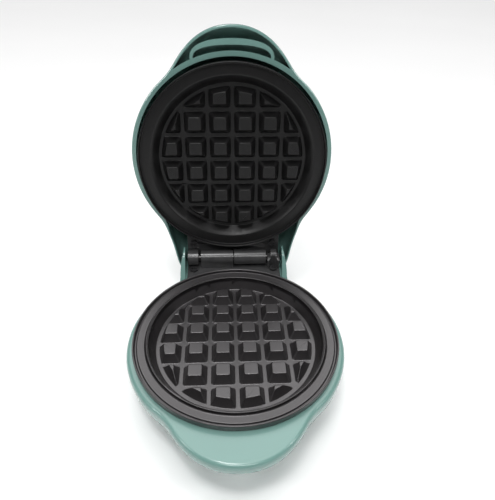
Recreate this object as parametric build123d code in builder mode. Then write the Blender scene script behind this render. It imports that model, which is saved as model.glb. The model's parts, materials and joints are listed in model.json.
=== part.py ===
from build123d import *
import os
from math import sin, cos, tan, atan2, radians, degrees, sqrt, hypot, pi

os.makedirs("parts", exist_ok=True)

# ---------------------------------------------------------------- dimensions
# mm; x right, y to the back, z up; z = 0 is the table, the plates' common
# centre is at x = y = 0 while modelling; everything is shifted by PC at the end
FLOOR_L = 27.0            # lower plate floor above the table
FLOOR_U = 44.2            # upper plate floor above the table, lid closed
PITCH = 15.2              # peg pitch
PEG_BASE = 12.9           # peg foot, square
PEG_TOP = 7.5             # peg top, square
PEG_H = 5.45
PEG_FIELD_R = 44.1        # pegs are cut off by this circle
PLATE_T = 3.0             # casting thickness
R_SHELL = 62.8            # both shells, round part
WALL = 2.5
DECK = 30.35              # lower shell's deck
RIM_U = 43.2              # upper shell's rim, lid closed
TAB = 13.8                # grip tab beyond the round part
LID_H = 27.8              # dome above its rim
HINGE_Y = 67.3            # hinge axis, behind the plates' centre
HINGE_Z = 38.27
PIN_R = 2.0
KNUCKLE_R = 5.2
RUN = 0.05                # running clearance on the pin
OPEN = 99.9               # the lid's opening angle at its stop
FEET_H = 2.5
PC = -19.3                # plates' centre on the y axis of the finished frame

hinge_axis = Axis((0, HINGE_Y, HINGE_Z), (1, 0, 0))


def finish_base(bp, name):
    bp.part = bp.part.moved(Location((0, PC, 0)))
    bp.part.label = name
    export_step(bp.part, "parts/" + name + ".step")


def finish_lid(bp, name):
    bp.part = bp.part.rotate(hinge_axis, -OPEN).moved(Location((0, PC, 0)))
    bp.part.label = name
    export_step(bp.part, "parts/" + name + ".step")


# ------------------------------------------------- outline of the two shells
def hermite(table, x):
    """Smooth curve through a table of (x, value)."""
    if x <= table[0][0]:
        return table[0][1]
    if x >= table[-1][0]:
        return table[-1][1]
    n = len(table)
    for i in range(n - 1):
        x0, y0 = table[i]
        x1, y1 = table[i + 1]
        if x0 <= x <= x1:
            def slope(k):
                if k == 0 or k == n - 1:
                    return 0.0
                a = (table[k][1] - table[k - 1][1]) / (table[k][0] - table[k - 1][0])
                b = (table[k + 1][1] - table[k][1]) / (table[k + 1][0] - table[k][0])
                return 0.0 if a * b <= 0 else 2 * a * b / (a + b)
            h = x1 - x0
            t = (x - x0) / h
            return ((2 * t**3 - 3 * t**2 + 1) * y0 + (t**3 - 2 * t**2 + t) * h * slope(i)
                    + (-2 * t**3 + 3 * t**2) * y1 + (t**3 - t**2) * h * slope(i + 1))


def tab_add(phi):
    """Grip tab: radius added at angle phi from the front, degrees."""
    u = abs(phi) / 38.5
    return TAB * (1 - u**2.2) ** 1.7 if u < 1 else 0.0


REAR = [(0, 19.8), (6, 20.4), (11, 21.5), (15, 22.8), (18, 24.1), (20.5, 24.9), (23, 24.7), (25.3, 22.9),
        (27.3, 20.4), (30, 16.0), (32.5, 12.3), (35.4, 8.9), (38.5, 6.0), (42.1, 3.4), (46.9, 0.9), (50, 0.0)]


def rear_add(psi):
    """Hinge skirt of the lid: radius added at angle psi from the back."""
    return hermite(REAR, abs(psi))


half = [0, 6, 12, 18, 24, 29, 34, 39, 46, 58, 72, 86, 100, 114, 126, 133, 139, 145, 150, 153.5, 157, 161, 166, 173]
angles = [-180.0] + [-x for x in half[:0:-1]] + [float(x) for x in half]


def ring(z, radius, tab=0.0, rear=0.0, inset=0.0, thin=0.0):
    """Closed outline at height z: round part, plus shares of tab and skirt."""
    pts = []
    for phi in angles:
        skirt = rear * rear_add(180 - abs(phi))
        r = radius + tab * tab_add(phi) + skirt + thin * min(1.0, skirt / 4.0) - inset
        pts.append((r * sin(radians(phi)), -r * cos(radians(phi))))
    with BuildSketch(Plane.XY.offset(z)) as sk:
        with BuildLine():
            Spline(pts, periodic=True)
        make_face()
    return sk.sketch


# lower shell: (z, inset, share of tab), outer and inner
LOWER_OUT = [(30.35, 3.0, 1.0), (30.12, 1.8, 1.0), (29.65, 1.0, 1.0), (28.9, 0.35, 1.0), (27.6, 0.0, 1.0), (24.0, 0.15, 0.98),
             (21.0, 0.7, 0.90), (18.0, 1.7, 0.66), (15.0, 3.2, 0.34), (12.0, 4.8, 0.11), (9.0, 6.4, 0.0), (6.0, 8.2, 0.0), (2.5, 11.0, 0.0)]
LOWER_IN = [(27.3, 3.3, 1.0), (24.0, 2.65, 0.96), (21.0, 3.2, 0.86), (18.0, 4.2, 0.58), (15.0, 5.7, 0.24), (12.0, 7.3, 0.03),
            (9.0, 8.9, 0.0), (6.0, 10.7, 0.0), (2.4, 13.5, 0.0)]


def dome_r(z, radius, height, straight=6.0):
    t = max(0.0, (z - straight) / (height - straight))
    return radius * max(0.0, 1 - t**2.6) ** (1 / 2.6)


TAB_W = [(0, 1.0), (8.5, 1.0), (10.5, 0.95), (12.5, 0.80), (14.5, 0.57), (16.5, 0.33), (18.5, 0.14), (20.5, 0.03), (22, 0.0)]
REAR_W = [(0, 1.0), (10, 1.0), (13, 0.95), (16, 0.82), (19, 0.60), (21.5, 0.38), (23.5, 0.19), (25.3, 0.06), (27, 0.0)]
DOME_Z = [1.0, 6.0, 9.0, 11.5, 14.0, 16.5, 18.8, 21.0, 23.0, 24.6, 25.8, 26.7, 27.3, 27.6]

# ------------------------------------------------------------- lower shell
with BuildPart() as base_shell:
    loft([ring(z, R_SHELL, tab=w, inset=i) for z, i, w in LOWER_OUT], ruled=True)
    # rear block under the hinge, and its two cheeks
    with BuildSketch(Plane.YZ.offset(-36.1)):
        with BuildLine():
            Polyline((44, DECK), (73.2, DECK), (73.2, 27.6), (67.3, 23.5), (61, 19.5), (50, 17.5), (44, 20), close=True)
        make_face()
    extrude(amount=72.2)
    for x0 in (-35.8, 32.6):
        with BuildSketch(Plane.YZ.offset(x0)):
            with Locations((HINGE_Y, HINGE_Z)):
                Circle(7.4)
            with BuildLine():
                Polyline((51.5, DECK - 1.5), (60.9, HINGE_Z + 3.7), (HINGE_Y + 7.4 * cos(radians(-15)), HINGE_Z + 7.4 * sin(radians(-15))),
                         (73.2, DECK - 1.5), close=True)
            make_face()
        extrude(amount=3.2)
    loft([ring(z, R_SHELL, tab=w, inset=i) for z, i, w in LOWER_IN], ruled=True, mode=Mode.SUBTRACT)
    # hollow of the rear block, open to the bowl
    with BuildSketch(Plane.YZ.offset(-33.6)):
        with BuildLine():
            Polyline((46, 27.3), (68.6, 27.3), (65.0, 25.0), (59.5, 21.6), (50, 20.0), (46, 21), close=True)
        make_face()
    extrude(amount=67.2, mode=Mode.SUBTRACT)
    # opening for the plate, and the shelf that carries it
    with BuildSketch(Plane.XY.offset(20)):
        Circle(57.0)
    extrude(amount=12, mode=Mode.SUBTRACT)
    with BuildSketch(Plane.XY.offset(FLOOR_L - 5.0)):
        Circle(59.6)
        Circle(50.6, mode=Mode.SUBTRACT)
    extrude(amount=3.0)
    with BuildSketch(Plane.XY.offset(FLOOR_L - 5.0)):
        Circle(59.6)
        Circle(57.0, mode=Mode.SUBTRACT)
    extrude(amount=7.0)
    with BuildSketch(Plane.XY.offset(FLOOR_L - 5.5)):
        with PolarLocations(53.5, 4, start_angle=45):
            Circle(1.5)
    extrude(amount=4, mode=Mode.SUBTRACT)
    # bosses for the cover's screws, tied to the wall
    with BuildSketch(Plane.XY.offset(4.6)):
        with PolarLocations(45.0, 3, start_angle=-90):
            Circle(3.4)
        with PolarLocations(48.5, 3, start_angle=-90):
            Rectangle(7.0, 2.6)
    extrude(amount=6.6)
    with BuildSketch(Plane.XY.offset(4.5)):
        with PolarLocations(45.0, 3, start_angle=-90):
            Circle(1.25)
    extrude(amount=5.5, mode=Mode.SUBTRACT)
    # flat seat and hole for the cord inlet, in the rear wall
    with BuildSketch(Plane.XZ.offset(-51.0)):
        with Locations((0, 10.6)):
            Circle(7.4)
    extrude(amount=-5.0)
    with BuildSketch(Plane.XZ.offset(-56.0)):
        with Locations((0, 10.6)):
            Circle(7.0)
    extrude(amount=-12, mode=Mode.SUBTRACT)
    with BuildSketch(Plane.XZ.offset(-48.0)):
        with Locations((0, 10.6)):
            Circle(4.6)
    extrude(amount=-14, mode=Mode.SUBTRACT)
    # screw holes for the hinge leaf
    with BuildSketch(Plane.XY.offset(DECK + 1)):
        with Locations((-27, 60.6), (27, 60.6)):
            Circle(1.25)
    extrude(amount=-4, mode=Mode.SUBTRACT)
    try:
        outer = [e for e in base_shell.part.edges() if abs(abs(e.center().X) - 35.8) < 0.1 and e.center().Z > DECK + 2]
        fillet(outer, 1.6)
    except Exception:
        pass
    # cheeks thin out towards their tops
    for side in (1, -1):
        with BuildSketch(Plane.XZ.offset(-55)):
            with BuildLine():
                ThreePointArc((side * 33.0, 46.5), (side * 34.95, 40.5), (side * 35.8, 33.5))
                Line((side * 35.8, 33.5), (side * 38, 33.5))
                Line((side * 38, 33.5), (side * 38, 46.5))
                Line((side * 38, 46.5), (side * 33.0, 46.5))
            make_face()
        extrude(amount=-25, mode=Mode.SUBTRACT)
    # rear corners of the block set in, to clear the open lid's skirt
    for side in (1, -1):
        with BuildSketch(Plane.XY.offset(20)):
            with Locations((side * 35.2, 72.1)):
                Rectangle(5.0, 5.0)
        extrude(amount=9.4, mode=Mode.SUBTRACT)
finish_base(base_shell, "base_shell")

# ---------------------------------------------------------------- lid shell
with BuildPart() as lid_shell:
    loft([ring(RIM_U, R_SHELL, tab=1, rear=1, inset=0.7), ring(RIM_U + 0.3, R_SHELL, tab=1, rear=1, inset=0.2)]
         + [ring(RIM_U + z, dome_r(z, R_SHELL, LID_H), tab=hermite(TAB_W, z), rear=hermite(REAR_W, z)) for z in DOME_Z], ruled=True)
    # inside of the dome, without the tab
    inner = []
    for z in [0.0, 6.0, 9.0, 12.0, 14.5, 17.0, 19.2, 21.2, 22.9, 24.2, 25.0, 25.4]:
        inner.append(ring(RIM_U + z - (0.2 if z == 0 else 0), dome_r(z, R_SHELL - 2.7, LID_H - 2.2),
                          rear=hermite(REAR_W, z + 1.6), thin=1.2))
    loft(inner, ruled=True, mode=Mode.SUBTRACT)
    # hollow underside of the grip, split by its rib
    with BuildSketch(Plane.XY.offset(RIM_U - 0.5)) as grip_plan:
        with BuildLine():
            pts = []
            for k in range(-12, 13):
                phi = k * 3.0
                r = R_SHELL + tab_add(phi) - 1.6
                pts.append((r * sin(radians(phi)), -r * cos(radians(phi))))
            s1 = Spline(pts)
            Line(pts[-1], (20, -48))
            Line((20, -48), (-20, -48))
            Line((-20, -48), pts[0])
        make_face()
        Circle(63.0, mode=Mode.SUBTRACT)
        with BuildLine():
            rib = []
            for k in range(0, 25):
                t = pi * k / 24
                c, s = cos(t), sin(t)
                rib.append((24.2 * (abs(c) ** 0.85) * (1 if c > 0 else -1), -59.4 - 10.0 * abs(s) ** 0.85))
            Spline(rib)
            Line(rib[-1], (-24.2, -55))
            Line((-24.2, -55), (24.2, -55))
            Line((24.2, -55), rib[0])
        make_face(mode=Mode.SUBTRACT)
    extrude(amount=9.8, mode=Mode.SUBTRACT)
    with BuildSketch(Plane.XY.offset(RIM_U - 0.5)) as rib_plan:
        with BuildLine():
            rib = []
            for k in range(0, 25):
                t = pi * k / 24
                c, s = cos(t), sin(t)
                rib.append((22.4 * (abs(c) ** 0.85) * (1 if c > 0 else -1), -59.4 - 6.7 * abs(s) ** 0.85))
            Spline(rib)
            Line(rib[-1], (-22.4, -55))
            Line((-22.4, -55), (22.4, -55))
            Line((22.4, -55), rib[0])
        make_face()
        Circle(63.0, mode=Mode.SUBTRACT)
    extrude(amount=8.8, mode=Mode.SUBTRACT)
    # pillars that carry the heat shield
    with BuildSketch(Plane.XY.offset(FLOOR_U + 5.7)):
        with PolarLocations(53.0, 4, start_angle=20):
            Circle(3.2)
    extrude(until=Until.NEXT)
    with BuildSketch(Plane.XY.offset(FLOOR_U + 5.0)):
        with PolarLocations(53.0, 4, start_angle=20):
            Circle(1.25)
    extrude(amount=7, mode=Mode.SUBTRACT)
    # bosses for the hinge leaf
    with BuildSketch(Plane.XY.offset(HINGE_Z + 8.25)):
        with Locations((-27, 59.5), (27, 59.5)):
            Circle(3.6)
    extrude(until=Until.NEXT)
    with BuildSketch(Plane.XY.offset(HINGE_Z + 8.2)):
        with Locations((-27, 59.5), (27, 59.5)):
            Circle(1.25)
    extrude(amount=7, mode=Mode.SUBTRACT)
    # hole for the indicator lens, in the crown
    with BuildSketch(Plane.XY.offset(RIM_U + 20)):
        Circle(3.6)
    extrude(amount=12, mode=Mode.SUBTRACT)
finish_lid(lid_shell, "lid_shell")


# ------------------------------------------------------------- waffle plates
def peg_at(z0, s):
    with BuildPart() as one:
        with BuildSketch(Plane.XY.offset(z0 - s * 0.5)):
            RectangleRounded(PEG_BASE + 0.5, PEG_BASE + 0.5, 1.7)
        with BuildSketch(Plane.XY.offset(z0 + s * PEG_H)):
            RectangleRounded(PEG_TOP, PEG_TOP, 1.0)
        loft()
    return one.part


def make_plate(z0, s, lip, boss_end):
    """z0 is the floor, s the side that the pegs stand on, lip the rim's profile."""
    peg = peg_at(z0, s)
    with BuildPart() as field:
        with GridLocations(PITCH, PITCH, 6, 6):
            add(peg)
        with BuildSketch(Plane.XZ):
            with BuildLine():
                k = PEG_H * tan(radians(25))
                Polyline((0, z0 - s * 0.5), (PEG_FIELD_R + 0.2, z0 - s * 0.5), (PEG_FIELD_R - k, z0 + s * PEG_H),
                         (0, z0 + s * PEG_H), close=True)
            make_face()
        revolve(axis=Axis.Z, mode=Mode.INTERSECT)
    with BuildPart() as plate:
        with BuildSketch(Plane.XZ):
            with BuildLine():
                Polyline(*[(r, z0 + s * h) for r, h in lip], close=True)
            make_face()
        revolve(axis=Axis.Z)
        with BuildSketch(Plane.XY.offset(z0 - s * boss_end)):
            with PolarLocations(53.5, 4, start_angle=45):
                Circle(3.3)
        extrude(amount=s * (boss_end + 3.4))
        with BuildSketch(Plane.XY.offset(z0 - s * 9.6)):
            with PolarLocations(20.0, 3, start_angle=90):
                Circle(3.5)
        extrude(amount=s * 7.0)
        add(field.part)
        with BuildSketch(Plane.XY.offset(z0 - s * (boss_end + 0.1))):
            with PolarLocations(53.5, 4, start_angle=45):
                Circle(1.25)
        extrude(amount=s * (boss_end + 3.1), mode=Mode.SUBTRACT)
        with BuildSketch(Plane.XY.offset(z0 - s * 9.7)):
            with PolarLocations(20.0, 3, start_angle=90):
                Circle(1.25)
        extrude(amount=s * 5.6, mode=Mode.SUBTRACT)
    return plate


LOWER_LIP = [(0, 0), (46.45, 0), (50.1, 7.2), (50.3, 7.5), (51.0, 7.6), (51.3, 7.4), (52.3, 6.05), (56.45, 6.45), (56.6, 5.5), (57.75, 5.5),
             (57.9, 7.4), (58.2, 7.72), (58.7, 7.72), (59.03, 7.4), (58.7, 3.36), (57.1, 3.36), (56.9, 3.36), (52.0, 3.3),
             (49.2, 3.3), (47.6, -PLATE_T), (0, -PLATE_T)]
UPPER_LIP = [(0, 0), (46.1, 0), (50.4, 6.0), (50.9, 6.3), (57.0, 6.0), (57.25, 8.6), (57.45, 8.86), (57.75, 8.86), (57.97, 8.6),
             (57.97, 0.8), (56.6, 0.8), (56.6, 3.0), (50.4, 3.0), (47.6, -PLATE_T), (0, -PLATE_T)]

lower_plate = make_plate(FLOOR_L, 1, LOWER_LIP, 2.0)
finish_base(lower_plate, "lower_plate")
upper_plate = make_plate(FLOOR_U, -1, UPPER_LIP, 5.0)
finish_lid(upper_plate, "upper_plate")


# ------------------------------------------- heaters, clamps, shields, screws
def make_element(z0, s):
    zc = z0 - s * 6.3
    with BuildPart() as element:
        with BuildSketch(Plane(origin=(33.0 * cos(radians(60)), 33.0 * sin(radians(60)), zc),
                               x_dir=(cos(radians(60)), sin(radians(60)), 0),
                               z_dir=(sin(radians(60)), -cos(radians(60)), 0))):
            Circle(3.2)
        revolve(axis=Axis((0, 0, zc), (0, 0, -1)), revolution_arc=300)
        for side in (1, -1):
            ex, ey = side * 33.0 * cos(radians(60)), 33.0 * sin(radians(60))
            dx, dy = -side * sin(radians(60)), cos(radians(60))
            with BuildSketch(Plane(origin=(ex, ey, zc), z_dir=(dx, dy, 0))):
                Circle(3.2)
            extrude(amount=6.0)
            with BuildSketch(Plane(origin=(ex + 6 * dx, ey + 6 * dy, zc), z_dir=(dx, dy, 0))):
                Circle(1.4)
            extrude(amount=5.0)
    return element


def make_clamp(z0, s):
    with BuildPart() as clamp:
        with BuildSketch(Plane.XY.offset(z0 - s * 10.6)):
            Circle(38.5)
            Circle(11.5, mode=Mode.SUBTRACT)
            with PolarLocations(20.0, 3, start_angle=90):
                Circle(1.5, mode=Mode.SUBTRACT)
            with PolarLocations(27.5, 3, start_angle=150):
                SlotOverall(14, 5, rotation=90, mode=Mode.SUBTRACT)
        extrude(amount=s * 1.0)
    return clamp


def make_shield(z0, s):
    with BuildPart() as shield:
        with BuildSketch(Plane.XZ):
            with BuildLine():
                Polyline(*[(r, z0 - s * h) for r, h in [(11.0, 15.0), (46.0, 15.0), (49.4, 5.0), (56.6, 5.0), (56.6, 5.6),
                                                        (49.9, 5.6), (46.5, 15.6), (11.0, 15.6)]], close=True)
            make_face()
        revolve(axis=Axis.Z)
        with BuildSketch(Plane.XY.offset(z0 - s * 7)):
            with PolarLocations(53.5, 4, start_angle=45):
                Circle(1.5)
        extrude(amount=s * 4, mode=Mode.SUBTRACT)
        if s < 0:
            with BuildSketch(Plane.XY.offset(z0 - s * 7)):
                with PolarLocations(53.0, 4, start_angle=20):
                    Circle(1.5)
            extrude(amount=s * 4, mode=Mode.SUBTRACT)
        with BuildSketch(Plane.XY.offset(z0 - s * 17)):
            with Locations((0, 30)):
                RectangleRounded(16, 7, 1.5)
        extrude(amount=s * 4, mode=Mode.SUBTRACT)
    return shield


def make_screws(points, z_seat, z_tip, z_head, r_shank=1.25, r_head=2.7):
    """Pan-head screws: shank from the seat to the tip, head away from it."""
    with BuildPart() as screws:
        for x, y in points:
            with BuildSketch(Plane.XY.offset(z_seat)):
                with Locations((x, y)):
                    Circle(r_shank)
            extrude(amount=z_tip - z_seat)
            with BuildSketch(Plane.XY.offset(z_seat)):
                with Locations((x, y)):
                    Circle(r_head)
            extrude(amount=z_head - z_seat)
            with BuildSketch(Plane.XY.offset(z_head)):
                with Locations((x, y)):
                    Rectangle(3.6, 0.7)
                    Rectangle(0.7, 3.6)
            extrude(amount=(z_seat - z_head) * 0.5, mode=Mode.SUBTRACT)
    return screws


def polar(r, n, start):
    return [(r * cos(radians(start + k * 360 / n)), r * sin(radians(start + k * 360 / n))) for k in range(n)]


lower_heating_element = make_element(FLOOR_L, 1)
finish_base(lower_heating_element, "lower_heating_element")
upper_heating_element = make_element(FLOOR_U, -1)
finish_lid(upper_heating_element, "upper_heating_element")

lower_element_clamp = make_clamp(FLOOR_L, 1)
finish_base(lower_element_clamp, "lower_element_clamp")
upper_element_clamp = make_clamp(FLOOR_U, -1)
finish_lid(upper_element_clamp, "upper_element_clamp")

lower_clamp_screws = make_screws(polar(20, 3, 90), FLOOR_L - 10.6, FLOOR_L - 4.6, FLOOR_L - 12.4)
finish_base(lower_clamp_screws, "lower_clamp_screws")
upper_clamp_screws = make_screws(polar(20, 3, 90), FLOOR_U + 10.6, FLOOR_U + 4.6, FLOOR_U + 12.4)
finish_lid(upper_clamp_screws, "upper_clamp_screws")

lower_heat_shield = make_shield(FLOOR_L, 1)
finish_base(lower_heat_shield, "lower_heat_shield")
upper_heat_shield = make_shield(FLOOR_U, -1)
finish_lid(upper_heat_shield, "upper_heat_shield")

lower_plate_screws = make_screws(polar(53.5, 4, 45), FLOOR_L - 5.6, FLOOR_L + 0.6, FLOOR_L - 7.4)
finish_base(lower_plate_screws, "lower_plate_screws")
upper_plate_screws = make_screws(polar(53.5, 4, 45), FLOOR_U + 5.6, FLOOR_U - 1.6, FLOOR_U + 7.4)

upper_shield_screws = make_screws(polar(53.0, 4, 20), FLOOR_U + 5.0, FLOOR_U + 11.0, FLOOR_U + 3.4, r_head=2.4)
finish_lid(upper_shield_screws, "upper_shield_screws")

# ----------------------------------------------------- thermostat, fuse, mains
with BuildPart() as thermostat:
    with BuildSketch(Plane.XY.offset(FLOOR_L - 3.05 - 3.2)):
        Circle(8.0)
    extrude(amount=3.2)
    with BuildSketch(Plane.XY.offset(FLOOR_L - 3.05 - 11.0)):
        Circle(6.8)
    extrude(amount=7.8)
    with BuildSketch(Plane.XY.offset(FLOOR_L - 3.05 - 15.5)):
        with Locations((-4, 0), (4, 0)):
            Rectangle(0.8, 5)
    extrude(amount=4.5)
finish_base(thermostat, "thermostat")

with BuildPart() as thermal_fuse:
    with BuildSketch(Plane.YZ.offset(-11)):
        with Locations((-24, FLOOR_L - 17.9)):
            Circle(2.2)
    extrude(amount=22)
    for x0 in (-18, 11):
        with BuildSketch(Plane.YZ.offset(x0)):
            with Locations((-24, FLOOR_L - 17.9)):
                Circle(0.6)
        extrude(amount=7)
finish_base(thermal_fuse, "thermal_fuse")

with BuildPart() as terminal_block:
    with BuildSketch(Plane.XY.offset(4.5)):
        with Locations((0, 30)):
            RectangleRounded(27, 13, 1.5)
    extrude(amount=6.0)
    with BuildSketch(Plane.XZ.offset(-20)):
        with Locations((-8.5, 7.6), (0, 7.6), (8.5, 7.6)):
            Circle(1.7)
    extrude(amount=-20, mode=Mode.SUBTRACT)
    with BuildSketch(Plane.XY.offset(10.5)):
        with Locations((-8.5, 26.5), (0, 26.5), (8.5, 26.5), (-8.5, 33.5), (0, 33.5), (8.5, 33.5)):
            Circle(1.4)
    extrude(amount=-2.2, mode=Mode.SUBTRACT)
finish_base(terminal_block, "terminal_block")

with BuildPart() as lower_wiring:
    for x, yz in ((-8.5, (12, 9.2)), (8.5, (12, 9.2))):
        with BuildLine() as lead:
            FilletPolyline((x, 23.5, 7.6), (x, 16, 7.6), (x * 0.6, 10, 8.2), (x * 0.47, 5.2, 8.2), radius=2.5)
        with BuildSketch(Plane(origin=(x, 23.5, 7.6), z_dir=(0, -1, 0))):
            Circle(0.9)
        sweep(path=lead.line)
finish_base(lower_wiring, "lower_wiring")

with BuildPart() as cord_bushing:
    with BuildSketch(Plane.XZ.offset(-56.05)):
        with Locations((0, 10.6)):
            Circle(6.6)
    extrude(amount=-2.4)
    with BuildSketch(Plane.XZ.offset(-50.9)):
        with Locations((0, 10.6)):
            Circle(4.5)
    extrude(amount=-5.4)
    with BuildSketch(Plane.XZ.offset(-48.9)):
        with Locations((0, 10.6)):
            Circle(6.0)
    extrude(amount=-2.0)
    with BuildSketch(Plane.XZ.offset(-48)):
        with Locations((0, 10.6)):
            Circle(2.9)
    extrude(amount=-13, mode=Mode.SUBTRACT)
    try:
        fillet(cord_bushing.part.edges().filter_by(GeomType.CIRCLE).sort_by(Axis.Y)[-2:], 0.8)
    except Exception:
        pass
finish_base(cord_bushing, "cord_bushing")

# ------------------------------------------------------------- cover and feet
with BuildPart() as base_cover:
    with BuildSketch(Plane.XY.offset(2.5)):
        Circle(49.2)
    extrude(amount=2.0)
    with BuildSketch(Plane.XY.offset(2.4)):
        with Locations((0, -30), (0, -10)):
            with GridLocations(6.0, 0, 7, 1):
                SlotOverall(14, 2.4, rotation=90)
    extrude(amount=3, mode=Mode.SUBTRACT)
    with BuildSketch(Plane.XY.offset(2.4)):
        with PolarLocations(45.0, 3, start_angle=-90):
            Circle(3.1)
    extrude(amount=1.2, mode=Mode.SUBTRACT)
    with BuildSketch(Plane.XY.offset(2.4)):
        with PolarLocations(45.0, 3, start_angle=-90):
            Circle(1.5)
    extrude(amount=3, mode=Mode.SUBTRACT)
    with BuildSketch(Plane.XY.offset(2.4)):
        with Locations((-27, -34), (27, -34), (-29, 33), (29, 33)):
            Circle(2.5)
    extrude(amount=3, mode=Mode.SUBTRACT)
finish_base(base_cover, "base_cover")

cover_screws = make_screws(polar(45, 3, -90), 3.6, 9.0, 2.6)
finish_base(cover_screws, "cover_screws")

for fname, fx, fy in (("foot_front_left", -27, -34), ("foot_front_right", 27, -34), ("foot_rear_left", -29, 33), ("foot_rear_right", 29, 33)):
    with BuildPart() as foot:
        with BuildSketch(Plane.XY):
            with Locations((fx, fy)):
                Circle(6.0)
        extrude(amount=2.5, taper=-4)
        with BuildSketch(Plane.XY.offset(2.5)):
            with Locations((fx, fy)):
                Circle(2.5)
        extrude(amount=2.0)
        with BuildSketch(Plane.XY.offset(4.5)):
            with Locations((fx, fy)):
                Circle(3.2)
        extrude(amount=0.9)
    finish_base(foot, fname)

# -------------------------------------------------------------------- hinge
LEAF_L_Z = HINGE_Z - 5.6          # top of the lower leaf
LEAF_U_Z = HINGE_Z + 5.6          # underside of the upper leaf

with BuildPart() as base_hinge_leaf:
    with BuildSketch(Plane.XY.offset(DECK)):
        with BuildLine():
            Polyline((-31.2, 48), (31.2, 48), (31.2, 72.0), (-31.2, 72.0), close=True)
        make_face()
        Circle(59.6, mode=Mode.SUBTRACT)
    extrude(amount=LEAF_L_Z - DECK)
    # long knuckle
    with BuildSketch(Plane.YZ.offset(-22.0)):
        with Locations((HINGE_Y, HINGE_Z)):
            Circle(KNUCKLE_R)
        with BuildLine():
            Polyline((HINGE_Y - 4.6, LEAF_L_Z - 0.2), (HINGE_Y - 5.2, HINGE_Z), (HINGE_Y + 2, HINGE_Z), (HINGE_Y + 2, LEAF_L_Z - 0.2), close=True)
        make_face()
    extrude(amount=21.7)
    # short knuckle with its stop block
    with BuildSketch(Plane.YZ.offset(25.2)):
        with Locations((HINGE_Y, HINGE_Z)):
            Circle(KNUCKLE_R)
    extrude(amount=4.0)
    with BuildSketch(Plane.YZ.offset(22.9)):
        with BuildLine():
            Polyline((HINGE_Y - 6.2, LEAF_L_Z - 0.2), (HINGE_Y - 6.2, HINGE_Z + 1.2), (HINGE_Y - 3.6, HINGE_Z + 2.4), (HINGE_Y + 1, HINGE_Z + 2.4),
                     (HINGE_Y + 1, LEAF_L_Z - 0.2), close=True)
        make_face()
    extrude(amount=8.2)
    with BuildSketch(Plane.YZ.offset(-23)):
        with Locations((HINGE_Y, HINGE_Z)):
            Circle(PIN_R)
    extrude(amount=52.2, mode=Mode.SUBTRACT)
    with BuildSketch(Plane.XY.offset(DECK - 1)):
        with Locations((-27, 60.6), (27, 60.6)):
            Circle(1.5)
    extrude(amount=5, mode=Mode.SUBTRACT)
    # room for the lid's end knuckle, and for the right-hand screw's head
    with BuildSketch(Plane.XY.offset(LEAF_L_Z)):
        with Locations((27, 60.6)):
            Circle(2.9)
    extrude(amount=12, mode=Mode.SUBTRACT)
finish_base(base_hinge_leaf, "base_hinge_leaf")

base_hinge_screws = make_screws([(-27, 60.6), (27, 60.6)], LEAF_L_Z, DECK - 2.4, LEAF_L_Z + 1.5, r_head=2.6)
finish_base(base_hinge_screws, "base_hinge_screws")

with BuildPart() as hinge_pin:
    with BuildSketch(Plane.YZ.offset(-30.6)):
        with Locations((HINGE_Y, HINGE_Z)):
            Circle(PIN_R)
    extrude(amount=59.6)
finish_base(hinge_pin, "hinge_pin")

with BuildPart() as lid_hinge_leaf:
    with BuildSketch(Plane.XY.offset(LEAF_U_Z)):
        with Locations((0, 61.8)):
            Rectangle(62.4, 18.4)
    extrude(amount=2.6)
    for x0, w in ((-31.0, 7.2), (0.3, 21.7)):
        with BuildSketch(Plane.YZ.offset(x0)):
            with Locations((HINGE_Y, HINGE_Z)):
                Circle(KNUCKLE_R)
            with BuildLine():
                Polyline((HINGE_Y - 5.2, HINGE_Z), (HINGE_Y - 4.6, LEAF_U_Z + 0.2), (HINGE_Y + 2, LEAF_U_Z + 0.2), (HINGE_Y + 2, HINGE_Z), close=True)
            make_face()
        extrude(amount=w)
    with BuildSketch(Plane.YZ.offset(-32)):
        with Locations((HINGE_Y, HINGE_Z)):
            Circle(PIN_R + RUN)
    extrude(amount=64, mode=Mode.SUBTRACT)
    with BuildSketch(Plane.XY.offset(LEAF_U_Z - 1)):
        with Locations((-27, 59.5), (27, 59.5)):
            Circle(1.5)
    extrude(amount=5, mode=Mode.SUBTRACT)
    # stiffening rail behind the upper plate
    with BuildSketch(Plane.XY.offset(LEAF_U_Z + 2.6)):
        with Locations((0, 53.5)):
            Rectangle(62.4, 1.8)
    extrude(amount=1.9)
finish_lid(lid_hinge_leaf, "lid_hinge_leaf")

lid_hinge_screws = make_screws([(-27, 59.5), (27, 59.5)], LEAF_U_Z, LEAF_U_Z + 7.5, LEAF_U_Z - 1.5, r_head=2.6)
finish_lid(lid_hinge_screws, "lid_hinge_screws")

# ------------------------------------------------------- indicator in the lid
CROWN = RIM_U + 27.6
with BuildPart() as indicator_lens:
    with BuildSketch(Plane.XY.offset(CROWN - 3.6)):
        Circle(5.0)
    extrude(amount=1.2)
    with BuildSketch(Plane.XY.offset(CROWN - 2.4)):
        Circle(3.5)
    extrude(amount=2.55)
    fillet(indicator_lens.part.edges().filter_by(GeomType.CIRCLE).sort_by(Axis.Z)[-1], 0.12)
finish_lid(indicator_lens, "indicator_lens")

with BuildPart() as lamp_holder:
    with BuildSketch(Plane.XY.offset(CROWN - 9.0)):
        Circle(5.0)
        Circle(3.0, mode=Mode.SUBTRACT)
    extrude(amount=5.4)
finish_lid(lamp_holder, "lamp_holder")

with BuildPart() as indicator_lamp:
    with BuildSketch(Plane.XY.offset(CROWN - 10.0)):
        Circle(2.9)
    extrude(amount=6.0)
finish_lid(indicator_lamp, "indicator_lamp")

# screws that join the upper plate to its shield
finish_lid(upper_plate_screws, "upper_plate_screws")
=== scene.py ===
import bpy
import bmesh
import json
import math
from mathutils import Vector, Matrix

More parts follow.
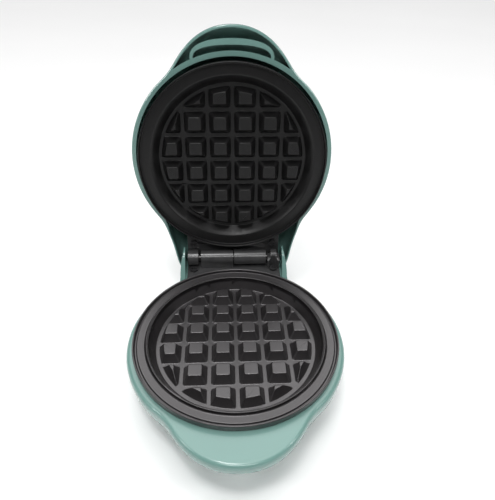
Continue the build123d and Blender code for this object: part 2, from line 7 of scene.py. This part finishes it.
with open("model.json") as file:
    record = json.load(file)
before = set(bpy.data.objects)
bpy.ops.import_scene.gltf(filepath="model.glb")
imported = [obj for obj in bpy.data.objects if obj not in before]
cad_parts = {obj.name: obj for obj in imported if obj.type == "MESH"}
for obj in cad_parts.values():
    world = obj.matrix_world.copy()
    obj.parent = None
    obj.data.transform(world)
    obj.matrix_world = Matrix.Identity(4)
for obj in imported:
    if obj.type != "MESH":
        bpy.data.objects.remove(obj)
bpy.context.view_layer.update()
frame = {"nodes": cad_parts, "record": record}

PC = -0.0193             # plates' centre on the y axis

# ------------------------------------------------------------------- camera
F_PX, W_PX, H_PX = 461.9, 495.0, 500.0
yaw, pitch, roll = math.radians(3.30), math.radians(37.30), math.radians(1.15)
fwd = Vector((math.sin(yaw) * math.cos(pitch), math.cos(yaw) * math.cos(pitch), -math.sin(pitch)))
right = fwd.cross(Vector((0, 0, 1))).normalized()
up = right.cross(fwd).normalized()
r2 = right * math.cos(roll) + up * math.sin(roll)
u2 = -right * math.sin(roll) + up * math.cos(roll)
cam_data = bpy.data.cameras.new("camera")
cam = bpy.data.objects.new("camera", cam_data)
bpy.context.scene.collection.objects.link(cam)
cam.matrix_world = Matrix(((r2.x, u2.x, -fwd.x, -0.00488), (r2.y, u2.y, -fwd.y, -0.18258 + PC),
                           (r2.z, u2.z, -fwd.z, 0.23478), (0, 0, 0, 1)))
cam_data.sensor_fit = "AUTO"
cam_data.sensor_width = 36.0
cam_data.lens = F_PX / H_PX * 36.0
cam_data.clip_start = 0.01
cam_data.clip_end = 50
bpy.context.scene.camera = cam


# ---------------------------------------------------------------- materials
def new_mat(name):
    m = bpy.data.materials.new(name)
    m.use_nodes = True
    nt = m.node_tree
    b = nt.nodes["Principled BSDF"]
    return m, nt, b


def coords(nt, scale):
    tc = nt.nodes.new("ShaderNodeTexCoord")
    mp = nt.nodes.new("ShaderNodeMapping")
    mp.inputs["Scale"].default_value = (scale, scale, scale)
    nt.links.new(tc.outputs["Object"], mp.inputs["Vector"])
    return mp.outputs["Vector"]


def noise(nt, vec, scale, detail=4.0, rough=0.5):
    n = nt.nodes.new("ShaderNodeTexNoise")
    n.inputs["Scale"].default_value = scale
    n.inputs["Detail"].default_value = detail
    n.inputs["Roughness"].default_value = rough
    nt.links.new(vec, n.inputs["Vector"])
    return n.outputs["Fac"]


def ramp(nt, fac, stops):
    r = nt.nodes.new("ShaderNodeValToRGB")
    r.color_ramp.elements[0].position = stops[0][0]
    r.color_ramp.elements[0].color = stops[0][1]
    r.color_ramp.elements[1].position = stops[-1][0]
    r.color_ramp.elements[1].color = stops[-1][1]
    for p, c in stops[1:-1]:
        e = r.color_ramp.elements.new(p)
        e.color = c
    nt.links.new(fac, r.inputs["Fac"])
    return r.outputs["Color"]


def remap(nt, fac, lo, hi, a=0.3, b=0.7):
    r = nt.nodes.new("ShaderNodeMapRange")
    r.inputs["From Min"].default_value = a
    r.inputs["From Max"].default_value = b
    r.inputs["To Min"].default_value = lo
    r.inputs["To Max"].default_value = hi
    nt.links.new(fac, r.inputs["Value"])
    return r.outputs["Result"]


def bump(nt, fac, b, strength, dist, prev=None):
    n = nt.nodes.new("ShaderNodeBump")
    n.inputs["Strength"].default_value = strength
    n.inputs["Distance"].default_value = dist
    nt.links.new(fac, n.inputs["Height"])
    if prev is not None:
        nt.links.new(prev, n.inputs["Normal"])
    nt.links.new(n.outputs["Normal"], b.inputs["Normal"])
    return n.outputs["Normal"]


def rgb(r, g, b):
    return (r, g, b, 1.0)


def tint(c, k):
    return (min(1, c[0] * k), min(1, c[1] * k), min(1, c[2] * k), 1.0)


def plastic(name, col, rough, var=0.05, mottle=60.0, grain=1800.0, bump_s=0.05, bump_d=0.00004, coat=0.0, spec=0.5):
    m, nt, b = new_mat(name)
    v = coords(nt, 1.0)
    n1 = noise(nt, v, mottle, 3.0)
    nt.links.new(ramp(nt, n1, [(0.3, tint(col, 1 - var)), (0.7, tint(col, 1 + var))]), b.inputs["Base Color"])
    n2 = noise(nt, v, grain, 2.0)
    nt.links.new(remap(nt, n1, rough * 0.88, rough * 1.12), b.inputs["Roughness"])
    bump(nt, n2, b, bump_s, bump_d)
    b.inputs["Specular IOR Level"].default_value = spec
    b.inputs["Coat Weight"].default_value = coat
    b.inputs["Coat Roughness"].default_value = 0.08
    return m


MINT = (0.150, 0.274, 0.247)
mint = plastic("mint_gloss_plastic", MINT, 0.24, var=0.02, mottle=35.0, grain=900.0, bump_s=0.035, bump_d=0.00003, coat=0.25)


def nonstick(name, col, rough, spec, spark):
    """Sandy sprayed coating: fine grit and faint mottle, worn bright on nothing."""
    m, nt, b = new_mat(name)
    v = coords(nt, 1.0)
    n1 = noise(nt, v, 55.0, 4.0)
    n2 = noise(nt, v, 1900.0, 3.0, 0.7)
    n3 = noise(nt, v, 900.0, 2.0)
    base = ramp(nt, n1, [(0.3, tint(col, 0.9)), (0.7, tint(col, 1.1))])
    speck = ramp(nt, n2, [(0.60, rgb(0, 0, 0)), (0.78, rgb(spark, spark, spark))])
    mix = nt.nodes.new("ShaderNodeMix")
    mix.data_type = "RGBA"
    mix.blend_type = "ADD"
    mix.inputs["Factor"].default_value = 1.0
    nt.links.new(base, mix.inputs["A"])
    nt.links.new(speck, mix.inputs["B"])
    nt.links.new(mix.outputs["Result"], b.inputs["Base Color"])
    nt.links.new(remap(nt, n3, rough - 0.05, rough + 0.06), b.inputs["Roughness"])
    first = bump(nt, n3, b, 0.12, 0.00006)
    bump(nt, n2, b, 0.25, 0.00005, first)
    b.inputs["Specular IOR Level"].default_value = spec
    return m


coat_low = nonstick("nonstick_coating_lower", (0.0040, 0.0030, 0.0035), 0.42, 1.0, 0.03)
low = coat_low.node_tree.nodes["Principled BSDF"]
low.inputs["Coat Weight"].default_value = 0.40
low.inputs["Coat Roughness"].default_value = 0.40
low.inputs["Specular Tint"].default_value = (1.0, 0.965, 0.985, 1.0)
coat_up = nonstick("nonstick_coating_upper", (0.0065, 0.0063, 0.0065), 0.38, 0.3, 0.008)
hinge_black = plastic("hinge_satin_black", (0.048, 0.048, 0.049), 0.24, var=0.15, mottle=120.0, grain=1500.0, bump_s=0.10, bump_d=0.00004)
cover_black = plastic("cover_textured_black", (0.022, 0.022, 0.023), 0.55, var=0.12, mottle=80.0, grain=1300.0, bump_s=0.35, bump_d=0.00008)
rubber = plastic("rubber_matt_black", (0.016, 0.016, 0.016), 0.75, var=0.15, mottle=150.0, grain=1000.0, bump_s=0.25, bump_d=0.00008, spec=0.3)
phenolic = plastic("phenolic_brown", (0.10, 0.055, 0.035), 0.5, var=0.15, mottle=200.0, grain=1500.0, bump_s=0.2, bump_d=0.00005)
white_sleeve = plastic("white_sleeve", (0.70, 0.69, 0.64), 0.6, var=0.08, mottle=300.0, grain=2500.0, bump_s=0.3, bump_d=0.00005)
cream_block = plastic("cream_block", (0.62, 0.58, 0.48), 0.5, var=0.06, mottle=200.0, grain=1500.0, bump_s=0.2, bump_d=0.00005)


def metal(name, col, rough, stretch=(1, 1, 1), heat=0.0):
    m, nt, b = new_mat(name)
    tc = nt.nodes.new("ShaderNodeTexCoord")
    mp = nt.nodes.new("ShaderNodeMapping")
    mp.inputs["Scale"].default_value = stretch
    nt.links.new(tc.outputs["Object"], mp.inputs["Vector"])
    v = mp.outputs["Vector"]
    n1 = noise(nt, v, 90.0, 4.0)
    n2 = noise(nt, v, 1600.0, 3.0)
    c2 = (col[0] * (1 - 0.2 * heat), col[1] * (1 - 0.45 * heat), col[2] * (1 - 0.6 * heat))
    nt.links.new(ramp(nt, n1, [(0.3, tint(c2, 0.9)), (0.7, tint(col, 1.08))]), b.inputs["Base Color"])
    nt.links.new(remap(nt, n2, rough - 0.07, rough + 0.08), b.inputs["Roughness"])
    bump(nt, n2, b, 0.15, 0.00003)
    b.inputs["Metallic"].default_value = 1.0
    return m


steel = metal("blackened_steel", (0.075, 0.074, 0.073), 0.34, (0.15, 1, 1))
black_screw = plastic("screw_black", (0.022, 0.022, 0.023), 0.33, var=0.15, mottle=300.0, grain=2000.0, bump_s=0.15, bump_d=0.00003)
sheath = metal("heater_sheath", (0.42, 0.39, 0.36), 0.42, (1, 1, 1), 0.5)
sheet = metal("galvanised_sheet", (0.60, 0.61, 0.62), 0.38, (1, 1, 1))
lens_mat = plastic("lens_red", (0.55, 0.06, 0.035), 0.12, var=0.1, mottle=400.0, grain=2500.0, bump_s=0.05, bump_d=0.00003, coat=0.5)
lens_mat.node_tree.nodes["Principled BSDF"].inputs["Transmission Weight"].default_value = 0.45
lamp_mat = plastic("lamp_glass", (0.85, 0.72, 0.60), 0.08, var=0.05, mottle=400.0, grain=2500.0, bump_s=0.05, bump_d=0.00003)
lamp_mat.node_tree.nodes["Principled BSDF"].inputs["Transmission Weight"].default_value = 0.8

MATS = {"mint_shell": mint, "nonstick_lower": coat_low, "nonstick_upper": coat_up, "hinge_black": hinge_black, "pin_steel": steel,
        "screw_steel": black_screw, "heater_steel": sheath, "sheet_steel": sheet, "cover_black": cover_black, "rubber_black": rubber,
        "phenolic": phenolic, "fuse_body": white_sleeve, "block_plastic": cream_block, "wire_insulation": white_sleeve,
        "lens_clear": lens_mat, "lamp_glass": lamp_mat}
slot_of = {s["node"]: s["material_slot"] for s in frame["record"]["subparts"]}
BEVEL = {"lower_plate": 0.0004, "upper_plate": 0.0004, "base_hinge_leaf": 0.0004, "lid_hinge_leaf": 0.0004, "lid_shell": 0.0005,
         "base_cover": 0.0003, "cord_bushing": 0.0003, "hinge_pin": 0.0002}


def shade_group():
    """Welds the faces of a CAD mesh along their shared edges and smooths across the shallow ones."""
    g = bpy.data.node_groups.new("weld_and_shade", "GeometryNodeTree")
    g.interface.new_socket("Geometry", in_out="INPUT", socket_type="NodeSocketGeometry")
    g.interface.new_socket("Geometry", in_out="OUTPUT", socket_type="NodeSocketGeometry")
    gi, go = g.nodes.new("NodeGroupInput"), g.nodes.new("NodeGroupOutput")
    weld = g.nodes.new("GeometryNodeMergeByDistance")
    weld.inputs["Distance"].default_value = 0.000002
    drop = g.nodes.new("GeometryNodeRemoveAttribute")
    drop.inputs["Name"].default_value = "custom_normal"
    face = g.nodes.new("GeometryNodeSetShadeSmooth")
    face.domain = "FACE"
    face.inputs["Shade Smooth"].default_value = True
    edge = g.nodes.new("GeometryNodeSetShadeSmooth")
    edge.domain = "EDGE"
    ang = g.nodes.new("GeometryNodeInputMeshEdgeAngle")
    less = g.nodes.new("FunctionNodeCompare")
    less.data_type = "FLOAT"
    less.operation = "LESS_THAN"
    less.inputs["B"].default_value = math.radians(30)
    g.links.new(gi.outputs[0], weld.inputs["Geometry"])
    g.links.new(weld.outputs["Geometry"], drop.inputs["Geometry"])
    g.links.new(drop.outputs["Geometry"], face.inputs["Geometry"])
    g.links.new(face.outputs["Geometry"], edge.inputs["Geometry"])
    g.links.new(ang.outputs["Unsigned Angle"], less.inputs["A"])
    g.links.new(less.outputs["Result"], edge.inputs["Shade Smooth"])
    g.links.new(edge.outputs["Geometry"], go.inputs[0])
    return g


SHADE = shade_group()
WELDED = {"lid_shell", "base_shell", "lower_plate", "upper_plate", "base_hinge_leaf", "lid_hinge_leaf"}
for node, ob in frame["nodes"].items():
    m = MATS[slot_of[node]]
    ob.data.materials.clear()
    ob.data.materials.append(m)
    if node in WELDED:
        gn = ob.modifiers.new("shade", "NODES")
        gn.node_group = SHADE
    if node in ("lower_plate", "upper_plate"):
        flat = ob.modifiers.new("flat_faces", "DECIMATE")
        flat.decimate_type = "DISSOLVE"
        flat.angle_limit = math.radians(0.4)
    if node in BEVEL:
        bv = ob.modifiers.new("edge", "BEVEL")
        bv.width = BEVEL[node]
        bv.segments = 2
        bv.limit_method = "ANGLE"
        bv.angle_limit = math.radians(30)
        bv.harden_normals = node in ("lower_plate", "upper_plate")
        bv.use_clamp_overlap = node not in ("lower_plate", "upper_plate")
    if node in WELDED and node not in ("lower_plate", "upper_plate"):
        wn = ob.modifiers.new("normals", "WEIGHTED_NORMAL")
        wn.keep_sharp = node not in BEVEL
        wn.weight = 85

# -------------------------------------------------------------------- stage
bm = bmesh.new()
n = 8
for i in range(n + 1):
    for j in range(n + 1):
        bm.verts.new(((i / n - 0.5) * 12.0, (j / n - 0.5) * 12.0 + 1.0, 0.0))
bm.verts.ensure_lookup_table()
for i in range(n):
    for j in range(n):
        a = i * (n + 1) + j
        bm.faces.new((bm.verts[a], bm.verts[a + n + 1], bm.verts[a + n + 2], bm.verts[a + 1]))
me = bpy.data.meshes.new("floor")
bm.to_mesh(me)
bm.free()
floor = bpy.data.objects.new("floor", me)
bpy.context.scene.collection.objects.link(floor)
fm, nt, b = new_mat("pale_floor")
v = coords(nt, 1.0)
nt.links.new(ramp(nt, noise(nt, v, 3.0, 2.0), [(0.3, rgb(0.86, 0.86, 0.86)), (0.7, rgb(0.88, 0.88, 0.88))]), b.inputs["Base Color"])
b.inputs["Roughness"].default_value = 0.9
b.inputs["Specular IOR Level"].default_value = 0.1
me.materials.append(fm)


def area(name, loc, target, size, power, col=(1, 1, 1), size_y=None):
    d = bpy.data.lights.new(name, "AREA")
    d.energy = power
    d.color = col
    d.size = size
    if size_y:
        d.shape = "RECTANGLE"
        d.size_y = size_y
    o = bpy.data.objects.new(name, d)
    bpy.context.scene.collection.objects.link(o)
    o.location = loc
    o.rotation_euler = (Vector(target) - Vector(loc)).to_track_quat("-Z", "Y").to_euler()
    return o


def sun(name, azim, elev, angle, strength):
    """A broad soft light far away: azim 0 is behind the object (+Y), elev is above the floor."""
    d = bpy.data.lights.new(name, "SUN")
    d.energy = strength
    d.angle = math.radians(angle)
    o = bpy.data.objects.new(name, d)
    bpy.context.scene.collection.objects.link(o)
    a, e = math.radians(azim), math.radians(elev)
    src = Vector((math.sin(a) * math.cos(e), math.cos(a) * math.cos(e), math.sin(e)))
    o.location = src * 2.0
    o.rotation_euler = (-src).to_track_quat("-Z", "Y").to_euler()
    return o


sun("overhead_soft", 0, 66, 75, 2.9)
area("left_strip", (-0.75, -0.25, 0.60), (0, 0, 0.08), 0.10, 1.4, size_y=0.30)
area("right_strip", (0.75, -0.25, 0.60), (0, 0, 0.08), 0.10, 1.4, size_y=0.30)
area("front_strip", (0.0, -0.70, 0.95), (0, 0, 0.06), 0.60, 3.8, size_y=0.10)
area("key_top", (-0.10, -0.22, 1.15), (0, 0, 0.05), 0.24, 3.4, size_y=0.20)

bpy.context.scene.view_settings.view_transform = "Standard"
world = bpy.data.worlds.new("studio")
bpy.context.scene.world = world
world.use_nodes = True
bg = world.node_tree.nodes["Background"]
bg.inputs["Color"].default_value = (1, 1, 1, 1)
bg.inputs["Strength"].default_value = 0.06
